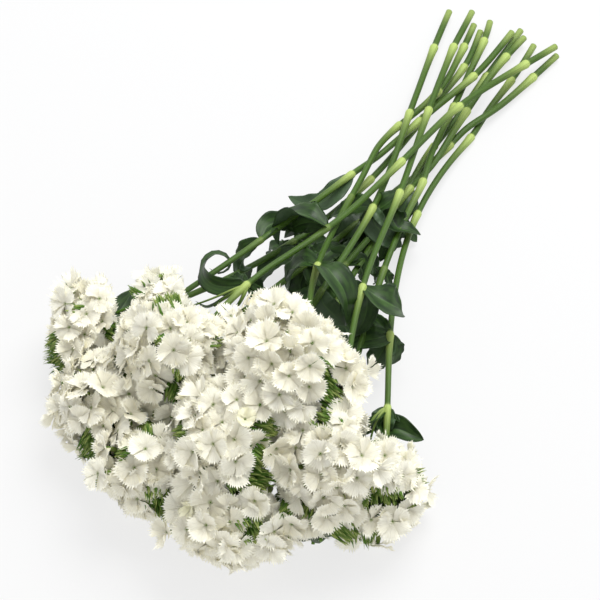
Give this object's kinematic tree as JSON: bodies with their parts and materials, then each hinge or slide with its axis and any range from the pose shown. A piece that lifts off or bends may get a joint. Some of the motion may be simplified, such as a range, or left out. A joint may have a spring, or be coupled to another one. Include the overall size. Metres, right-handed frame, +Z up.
{
  "type": "cut dianthus bunch",
  "caption": "Loose bunch of cut white sweet william stems with domed flower heads, swollen joints and folded leaves, lying on a surface.",
  "frame": {"origin": "on the surface that the bunch lies on, under the centre of its bounding box", "axes": "+Y along the stems towards their cut ends, flower heads towards -Y, +Z up"},
  "size_m": [0.3278, 0.5732, 0.1601],
  "materials": {
    "greenery": "satin",
    "petals": "matte"
  },
  "bodies": {
    "root": {"stem_01": "greenery", "stem_02": "greenery", "stem_03": "greenery", "stem_04": "greenery", "stem_05": "greenery", "stem_06": "greenery", "stem_07": "greenery", "stem_08": "greenery", "stem_09": "greenery", "stem_10": "greenery", "stem_11": "greenery", "flowers_01": "petals", "flowers_02": "petals", "flowers_03": "petals", "flowers_04": "petals", "flowers_05": "petals", "flowers_06": "petals", "flowers_07": "petals", "flowers_08": "petals", "flowers_09": "petals", "flowers_10": "petals", "flowers_11": "petals"}
  },
  "joints": []
}
